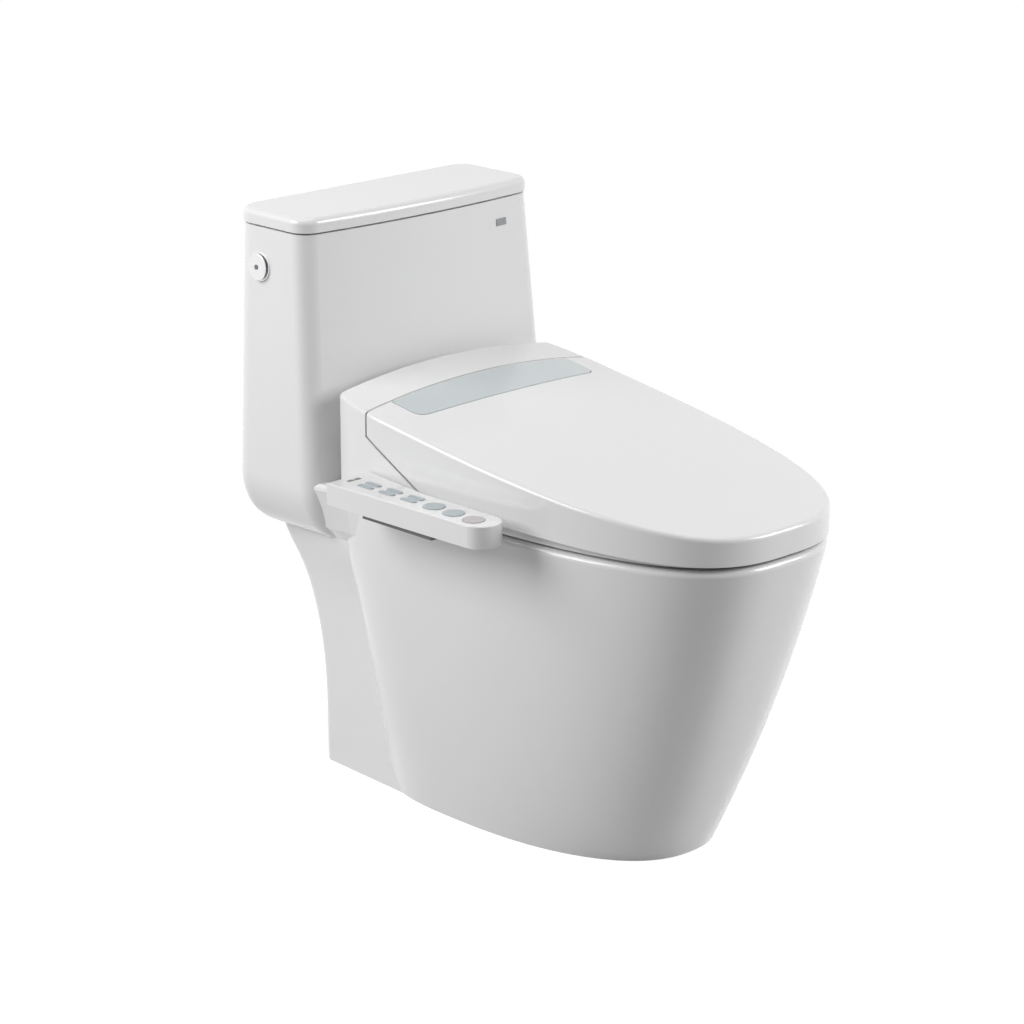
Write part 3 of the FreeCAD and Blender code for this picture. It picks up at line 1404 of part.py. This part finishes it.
def inner_parts():
    """Water heater, valve block and circuit board on the base."""
    name(block("heater_length", "heater_depth", "heater_height",
               "heater_x-heater_length/2", "inner_y-heater_depth/2", BASE_TOP), "water_heater")
    name(block("valve_length", "valve_depth", "valve_height",
               "valve_x-valve_length/2", "inner_y-valve_depth/2", BASE_TOP), "valve_block")
    board = block("board_length", "board_thick", "board_height", "board_x-board_length/2", "inner_y",
                  f"{BASE_TOP}+board_foot")
    feet = [block("board_foot", "2*board_foot", "board_foot",
                  f"board_x{side}board_length/2{back}", "inner_y-board_foot", BASE_TOP)
            for side, back in (("-", ""), ("+", "-board_foot"))]
    name(fuse(board, *feet), "circuit_board")


ALONG_X = FreeCAD.Rotation(V(0, 0, 1), V(1, 0, 0))


def inlets():
    """Water inlet and cord gland on the right wall of the housing."""
    turned("water_inlet", [
        ("0", "-spigot_length"), ("inlet_spigot", "-spigot_length"), ("inlet_spigot", "0"),
        ("inlet_half", "0"), ("inlet_half", "inlet_length"), ("inlet_half-inlet_wall", "inlet_length"),
        ("inlet_half-inlet_wall", "inlet_wall"), ("0", "inlet_wall")],
        "inlet_x", "inlet_y", "inlet_z", ALONG_X)
    turned("cord_gland", [
        ("0", "-spigot_length"), ("gland_spigot", "-spigot_length"), ("gland_spigot", "0"),
        ("gland_half", "0"), ("gland_half", "gland_length"), ("gland_bore", "gland_length"),
        ("gland_bore", "gland_floor"), ("0", "gland_floor")], "gland_x", "gland_y", "gland_z", ALONG_X)


# ---------------------------------------------------------------- control arm

def arm_outline(inset, z):
    """The control arm's plan: straight rear, bent inner side and a rounded tip."""
    tip_y = size("arm_tip_y") + inset
    shoulder = size("arm_shoulder_y")
    outer_rear, outer_front = -size("arm_outer_rear") + inset, -size("arm_outer_front") + inset
    inner_rear, inner_mid = -size("arm_inner_rear") - inset, -size("arm_inner_mid") - inset
    inner_front = -size("arm_inner_front") - inset
    rear = size("arm_rear_y") - inset
    corners = [V(outer_front, shoulder, z), V(outer_rear, rear, z), V(inner_rear, rear, z),
               V(inner_mid, size("arm_mid_y"), z), V(inner_front, shoulder, z)]
    tip = V((inner_front + outer_front) / 2, tip_y, z)
    return Part.Wire([Part.Arc(corners[-1], tip, corners[0]).toShape()] + Part.makePolygon(corners).Edges)


def pill(x, y, grown, z, height):
    """An upright slab with round ends, long in Y."""
    half = size("pill_width") / 2 + grown
    reach = size("pill_length") / 2 - size("pill_width") / 2
    left, right = -x - half, -x + half
    front, rear = y - reach, y + reach
    arcs = [Part.Arc(V(left, front, z), V(-x, front - half, z), V(right, front, z)).toShape(),
            Part.Arc(V(right, rear, z), V(-x, rear + half, z), V(left, rear, z)).toShape()]
    lines = [Part.LineSegment(V(right, front, z), V(right, rear, z)).toShape(),
             Part.LineSegment(V(left, rear, z), V(left, front, z)).toShape()]
    return prism(Part.Wire([arcs[0], lines[0], arcs[1], lines[1]]), height)


def disc(x, y, grown, z, height):
    return upright_hole(size("round_half") + grown, -x, y, z, z + height)


def key_spots():
    """Label, plan maker and place of each key."""
    spots = []
    for i, end in enumerate(("rear", "middle", "front")):
        y = size("pill_first_y") - i * size("pill_pitch")
        spots.append((f"outer_key_{end}", pill, size("pill_row_near"), y))
        spots.append((f"inner_key_{end}", pill, size("pill_row_far"), y))
    for i, end in enumerate(("rear", "middle", "front")):
        spots.append((f"round_key_{end}", disc, size("round_x") + i * size("round_drift"),
                      size("round_first_y") - i * size("round_pitch")))
    return spots


def windows(grown, z, height):
    """Two small display windows side by side."""
    width, length = size("window_width") + 2 * grown, size("window_length") + 2 * grown
    shapes = []
    for side in (-1, 1):
        x = -size("window_x") + side * size("window_pitch") / 2 - width / 2
        shapes.append(Part.makeBox(width, length, height, V(x, size("window_y") - length / 2, z)))
    return shapes


def control_arm():
    top, cap = size("arm_top"), size("arm_cap_thick")
    under, wall = top - size("arm_thick"), size("arm_wall")
    seam = top - cap
    case = prism(arm_outline(0, under), seam - under)
    case = case.cut(prism(arm_outline(wall, under + wall), seam - under))
    board_z = seam - size("arm_board_drop")
    for y in (size("arm_post_front"), size("arm_post_rear")):
        post = upright_hole(size("arm_post_half"), -size("arm_board_x"), y, under + wall, board_z)
        case = case.fuse(post)
    solid("panel_case", case)

    cover = prism(arm_outline(0, seam), cap)
    cover = cover.makeFillet(size("arm_edge_round"), level_edges(cover, top))
    tools = [make(x, y, size("key_play"), seam - OVERLAP, 3 * OVERLAP) for label, make, x, y in key_spots()]
    tools += windows(size("window_play"), top - size("window_thick"), OVERLAP)
    solid("panel_top", carved(cover, tools))
    solid("panel_display", Part.makeCompound(windows(0, top - size("window_thick"), size("window_thick"))))

    flange_top = seam - size("rest_gap")
    flange = size("key_flange_thick")
    for label, make, x, y in key_spots():
        face = make(x, y, 0, flange_top, top + size("key_proud") - flange_top)
        catch = make(x, y, size("key_catch"), flange_top - flange, flange)
        stem_top = flange_top - flange
        stem = upright_hole(size("key_stem_half"), -x, y, stem_top - size("key_stem"), stem_top)
        solid(label, joined(face, [catch, stem]))
    name(block("arm_board_width", "arm_board_length", "board_thick", "-arm_board_x-arm_board_width/2",
               "arm_board_front", "arm_top-arm_cap_thick-arm_board_drop"), "panel_board")
    name(block("pad_strip_width", "pad_strip_rear-pad_strip_front", "pad_strip_thick",
               "-pad_strip_x-pad_strip_width/2", "pad_strip_front", "arm_top-arm_thick-pad_strip_thick"),
         "panel_pad")


# ---------------------------------------------------------------- all sub-parts

china()
solid("tank_badge", badge())
solid("tank_lid", tank_lid())
tank_lid_pads()
outlet_gasket()
flush_button_parts()
flush_valve()
fill_valve()
solid("refill_tube", refill_tube())
solid("flush_cable", flush_cable())
solid("seat_lid", seat_lid())
solid("accent_strip", accent_strip())
solid("lid_bumpers", lid_bumpers())
solid("seat_ring", seat_ring())
solid("seat_ring_base", seat_ring_base())
solid("seat_heater", seat_heater())
solid("ring_bumpers", ring_bumpers())
solid("rear_housing", rear_housing())
solid("hinge_pins", hinge_pins())
solid("soft_close_dampers", soft_close_dampers())
mounting()
solid("seat_base", seat_base())
solid("nozzle_holder", nozzle_holder())
solid("rear_nozzle", nozzle(-size("nozzle_x")))
solid("front_nozzle", nozzle(size("nozzle_x")))
inner_parts()
inlets()
control_arm()

doc.recompute()
broken = [item.Label for item in doc.Objects if {"Invalid", "Error"} & set(item.State)]
empty = [item.Label for item in NODES if item.Shape.isNull() or not item.Shape.isValid()]
if broken or empty:
    raise RuntimeError(f"not built: {broken} {empty}")
os.makedirs("parts", exist_ok=True)
for item in NODES:
    item.Shape.exportStep(f"parts/{item.Label}.step")
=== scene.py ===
import json

import bmesh
import bpy
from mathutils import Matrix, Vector

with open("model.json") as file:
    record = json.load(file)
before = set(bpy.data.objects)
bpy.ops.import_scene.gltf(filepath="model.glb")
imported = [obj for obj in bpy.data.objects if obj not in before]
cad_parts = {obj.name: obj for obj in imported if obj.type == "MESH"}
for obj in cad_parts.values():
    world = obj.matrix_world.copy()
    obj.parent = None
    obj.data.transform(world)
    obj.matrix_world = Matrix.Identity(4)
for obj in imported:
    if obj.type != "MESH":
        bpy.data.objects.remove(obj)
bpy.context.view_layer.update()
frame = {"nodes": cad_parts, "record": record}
NODES = frame["nodes"]


# ---------------------------------------------------------------- camera, backdrop and lights

CAMERA_SPOT = Vector((-2.7457, -2.8335, 1.5955))
CAMERA_AIM = Vector((0.0514, 0.063, 0.3336))
CAMERA_LENS = 118.2
CAMERA_SENSOR = 36.0
CAMERA_REACH = 50.0

FILL_STRENGTH = 0.15
WHITE_STRENGTH = 1.0

FLOOR_HALF = 9.0
FLOOR_TONE = 0.9
FLOOR_BOUNCE = 0.42
FLOOR_GLOW = 0.45
FLOOR_FADE = (0.5, 0.95)

# Each softbox: its name, place, target, width, height and power in watts.
SOFTBOXES = [
    ("left_box", (-2.6, 1.4, 2.2), (0.0, 0.0, 0.4), 2.0, 2.0, 94.0),
    ("top_box", (-0.2, 0.0, 3.0), (0.0, 0.0, 0.3), 2.4, 2.4, 13.0),
    ("right_box", (2.0, -2.6, 1.9), (0.0, -0.1, 0.4), 1.4, 1.8, 84.0),
]


def grey(tone):
    return (tone, tone, tone, 1.0)


def placed(name, data, spot, target):
    """An object at a spot, turned so that its -Z looks at a target."""
    obj = bpy.data.objects.new(name, data)
    obj.location = Vector(spot)
    obj.rotation_euler = (Vector(target) - obj.location).to_track_quat("-Z", "Y").to_euler()
    bpy.context.scene.collection.objects.link(obj)
    return obj


def add_camera():
    data = bpy.data.cameras.new("camera")
    data.lens = CAMERA_LENS
    data.sensor_width = CAMERA_SENSOR
    data.clip_end = CAMERA_REACH
    bpy.context.scene.camera = placed("camera", data, CAMERA_SPOT, CAMERA_AIM)


def add_softbox(name, spot, target, width, height, power):
    data = bpy.data.lights.new(name, "AREA")
    data.shape = "RECTANGLE"
    data.size = width
    data.size_y = height
    data.energy = power
    placed(name, data, spot, target)


def larger(nodes, links, first, second):
    """The larger of two outputs."""
    node = nodes.new("ShaderNodeMath")
    node.operation = "MAXIMUM"
    links.new(first, node.inputs[0])
    links.new(second, node.inputs[1])
    return node.outputs[0]


def seen_or_reflected(nodes, links):
    """One where a ray from the camera, a mirror or glass looks at the backdrop."""
    path = nodes.new("ShaderNodeLightPath")
    seen = larger(nodes, links, path.outputs["Is Camera Ray"], path.outputs["Is Glossy Ray"])
    return larger(nodes, links, seen, path.outputs["Is Transmission Ray"])


def mixed(nodes, links, share, first, second):
    """Two shaders mixed by a share of the second."""
    node = nodes.new("ShaderNodeMixShader")
    links.new(share, node.inputs["Fac"])
    links.new(first, node.inputs[1])
    links.new(second, node.inputs[2])
    return node.outputs[0]


def background(nodes, strength):
    node = nodes.new("ShaderNodeBackground")
    node.inputs["Color"].default_value = grey(1.0)
    node.inputs["Strength"].default_value = strength
    return node.outputs[0]


def matte(nodes, tone):
    node = nodes.new("ShaderNodeBsdfDiffuse")
    node.inputs["Color"].default_value = grey(tone)
    return node.outputs[0]


def glow(nodes, strength):
    node = nodes.new("ShaderNodeEmission")
    node.inputs["Strength"].default_value = strength
    return node.outputs[0]


def add_world():
    """White where it is seen or reflected, and a weak fill for every other ray."""
    world = bpy.data.worlds.new("studio")
    bpy.context.scene.world = world
    world.use_nodes = True
    nodes, links = world.node_tree.nodes, world.node_tree.links
    nodes.clear()
    fill = background(nodes, FILL_STRENGTH)
    white = background(nodes, WHITE_STRENGTH)
    out = nodes.new("ShaderNodeOutputWorld")
    links.new(mixed(nodes, links, seen_or_reflected(nodes, links), fill, white), out.inputs["Surface"])


def distance_fade(nodes, links):
    """Zero near the origin and one far from it."""
    coord = nodes.new("ShaderNodeTexCoord")
    far = nodes.new("ShaderNodeVectorMath")
    far.operation = "LENGTH"
    links.new(coord.outputs["Object"], far.inputs[0])
    fade = nodes.new("ShaderNodeMapRange")
    fade.interpolation_type = "SMOOTHSTEP"
    fade.inputs["From Min"].default_value, fade.inputs["From Max"].default_value = FLOOR_FADE
    links.new(far.outputs["Value"], fade.inputs["Value"])
    return fade.outputs[0]


def floor_material():
    """Matte and a little lit where it keeps the shadow, white away from the object, darker as a bounce."""
    material = bpy.data.materials.new("pale_floor")
    material.use_nodes = True
    nodes, links = material.node_tree.nodes, material.node_tree.links
    nodes.clear()
    near = nodes.new("ShaderNodeAddShader")
    links.new(matte(nodes, FLOOR_TONE), near.inputs[0])
    links.new(glow(nodes, FLOOR_GLOW), near.inputs[1])
    away = glow(nodes, WHITE_STRENGTH)
    seen = mixed(nodes, links, distance_fade(nodes, links), near.outputs[0], away)
    bounce = matte(nodes, FLOOR_BOUNCE)
    out = nodes.new("ShaderNodeOutputMaterial")
    links.new(mixed(nodes, links, seen_or_reflected(nodes, links), bounce, seen), out.inputs["Surface"])
    return material


def add_floor():
    bm = bmesh.new()
    bmesh.ops.create_grid(bm, x_segments=1, y_segments=1, size=FLOOR_HALF)
    mesh = bpy.data.meshes.new("floor")
    bm.to_mesh(mesh)
    bm.free()
    mesh.materials.append(floor_material())
    floor = bpy.data.objects.new("floor", mesh)
    bpy.context.scene.collection.objects.link(floor)


bpy.context.scene.view_settings.view_transform = "Standard"
add_camera()
add_world()
add_floor()
for softbox in SOFTBOXES:
    add_softbox(*softbox)


# ---------------------------------------------------------------- surface finishes

WAVE_SCALE = 9.0
GRAIN_SCALE = 900.0
WAVE_DETAIL = 1.0
GRAIN_DETAIL = 2.0
NOISE_MIDDLE = 0.5
COAT_ROUGHNESS = 0.05
CLOUD_SCALE = 3.0
CLOUD_STOPS = (0.3, 0.7)
TONE_DRIFT = 0.015
PLASTIC_IOR = 1.5


def noise(nodes, links, detail):
    """A noise on Object coordinates."""
    coord = nodes.new("ShaderNodeTexCoord")
    node = nodes.new("ShaderNodeTexNoise")
    node.inputs["Detail"].default_value = detail
    links.new(coord.outputs["Object"], node.inputs["Vector"])
    return node


def bump(nodes, links, height, depth):
    node = nodes.new("ShaderNodeBump")
    links.new(height, node.inputs["Height"])
    links.new(depth, node.inputs["Distance"])
    return node


def wave_group():
    """Slow waves and fine grain of a surface, as a bumped normal and a roughness."""
    group = bpy.data.node_groups.new("surface_waves", "ShaderNodeTree")
    for label in ("Wave Scale", "Wave Depth", "Grain Scale", "Grain Depth", "Roughness", "Roughness Spread"):
        group.interface.new_socket(name=label, in_out="INPUT", socket_type="NodeSocketFloat")
    group.interface.new_socket(name="Roughness", in_out="OUTPUT", socket_type="NodeSocketFloat")
    group.interface.new_socket(name="Normal", in_out="OUTPUT", socket_type="NodeSocketVector")
    nodes, links = group.nodes, group.links
    start = nodes.new("NodeGroupInput")
    end = nodes.new("NodeGroupOutput")

    wave = noise(nodes, links, WAVE_DETAIL)
    links.new(start.outputs["Wave Scale"], wave.inputs["Scale"])
    grain = noise(nodes, links, GRAIN_DETAIL)
    links.new(start.outputs["Grain Scale"], grain.inputs["Scale"])
    slow = bump(nodes, links, wave.outputs["Fac"], start.outputs["Wave Depth"])
    fine = bump(nodes, links, grain.outputs["Fac"], start.outputs["Grain Depth"])
    links.new(slow.outputs["Normal"], fine.inputs["Normal"])
    links.new(fine.outputs["Normal"], end.inputs["Normal"])

    centred = nodes.new("ShaderNodeMath")
    centred.operation = "SUBTRACT"
    links.new(wave.outputs["Fac"], centred.inputs[0])
    centred.inputs[1].default_value = NOISE_MIDDLE
    spread = nodes.new("ShaderNodeMath")
    spread.operation = "MULTIPLY_ADD"
    links.new(centred.outputs[0], spread.inputs[0])
    links.new(start.outputs["Roughness Spread"], spread.inputs[1])
    links.new(start.outputs["Roughness"], spread.inputs[2])
    links.new(spread.outputs[0], end.inputs["Roughness"])
    return group


WAVES = wave_group()


def finish(name, colour, roughness, spread=0.03, waves=(WAVE_SCALE, 0.0), grain=(GRAIN_SCALE, 0.0),
           metallic=0.0, coat=0.0, drift=TONE_DRIFT):
    """A Principled material whose roughness, normal and tone come from the wave group and a soft noise."""
    material = bpy.data.materials.new(name)
    material.use_nodes = True
    nodes, links = material.node_tree.nodes, material.node_tree.links
    shader = nodes["Principled BSDF"]
    shader.inputs["Metallic"].default_value = metallic
    shader.inputs["IOR"].default_value = PLASTIC_IOR
    shader.inputs["Coat Weight"].default_value = coat
    shader.inputs["Coat Roughness"].default_value = COAT_ROUGHNESS

    group = nodes.new("ShaderNodeGroup")
    group.node_tree = WAVES
    group.inputs["Wave Scale"].default_value, group.inputs["Wave Depth"].default_value = waves
    group.inputs["Grain Scale"].default_value, group.inputs["Grain Depth"].default_value = grain
    group.inputs["Roughness"].default_value = roughness
    group.inputs["Roughness Spread"].default_value = spread
    links.new(group.outputs["Roughness"], shader.inputs["Roughness"])
    links.new(group.outputs["Normal"], shader.inputs["Normal"])

    coord = nodes.new("ShaderNodeTexCoord")
    cloud = nodes.new("ShaderNodeTexNoise")
    cloud.inputs["Scale"].default_value = CLOUD_SCALE
    links.new(coord.outputs["Object"], cloud.inputs["Vector"])
    ramp = nodes.new("ShaderNodeValToRGB")
    low, high = ramp.color_ramp.elements
    low.position, high.position = CLOUD_STOPS
    low.color = (*[c * (1 - drift) for c in colour], 1.0)
    high.color = (*colour, 1.0)
    links.new(cloud.outputs["Fac"], ramp.inputs["Fac"])
    links.new(ramp.outputs["Color"], shader.inputs["Base Color"])
    return material


# One finish for each material slot of the record: its colour, roughness and roughness spread, then the
# scale and depth of its waves and grain.
FINISHES = {
    "china": finish("glazed_china", (0.80, 0.80, 0.80), 0.24, 0.04,
                    waves=(7.0, 0.0004), coat=0.25, drift=0.01),
    "seat_plastic": finish("white_gloss_plastic", (0.80, 0.80, 0.80), 0.22, 0.03,
                           grain=(1400.0, 0.000004), coat=0.2),
    "strip": finish("pale_blue_strip", (0.55, 0.60, 0.615), 0.18, 0.02, coat=0.4),
    "key": finish("blue_grey_key", (0.43, 0.48, 0.51), 0.40, 0.05, grain=(2500.0, 0.00001)),
    "stop_key": finish("warm_grey_key", (0.51, 0.47, 0.48), 0.40, 0.05, grain=(2500.0, 0.00001)),
    "marking": finish("grey_marking", (0.16, 0.17, 0.18), 0.35, 0.04),
    "badge": finish("grey_badge", (0.30, 0.31, 0.32), 0.35, 0.04),
    # The thin dark strip under the control arm takes this finish: painted shade, a dark sheet standing in
    # for the shaded gap under the arm.
    "dark_rubber": finish("dark_rubber", (0.13, 0.13, 0.14), 0.60, 0.06, grain=(1800.0, 0.00002)),
    "seal_rubber": finish("black_rubber", (0.02, 0.02, 0.02), 0.65, 0.06, grain=(1800.0, 0.00002)),
    "clear_rubber": finish("pale_rubber", (0.62, 0.62, 0.62), 0.45, 0.05, grain=(1800.0, 0.00001)),
    "technical_plastic": finish("fitting_plastic", (0.62, 0.62, 0.62), 0.42, 0.05,
                                grain=(1500.0, 0.00001)),
    "float_plastic": finish("float_plastic", (0.12, 0.20, 0.36), 0.40, 0.05, grain=(1500.0, 0.00001)),
    "nozzle_plastic": finish("nozzle_plastic", (0.72, 0.72, 0.72), 0.16, 0.02, coat=0.3),
    "board": finish("circuit_board", (0.02, 0.12, 0.05), 0.35, 0.06),
    "heater_foil": finish("heater_foil", (0.70, 0.70, 0.70), 0.30, 0.08,
                          grain=(700.0, 0.00003), metallic=1.0),
    "steel": finish("brushed_steel", (0.55, 0.55, 0.56), 0.30, 0.08,
                    grain=(900.0, 0.00002), metallic=1.0),
    "plated": finish("plated_metal", (0.80, 0.80, 0.81), 0.32, 0.04, metallic=1.0),
}

for part in frame["record"]["subparts"]:
    mesh = NODES[part["node"]].data
    mesh.materials.clear()
    mesh.materials.append(FINISHES[part["material_slot"]])
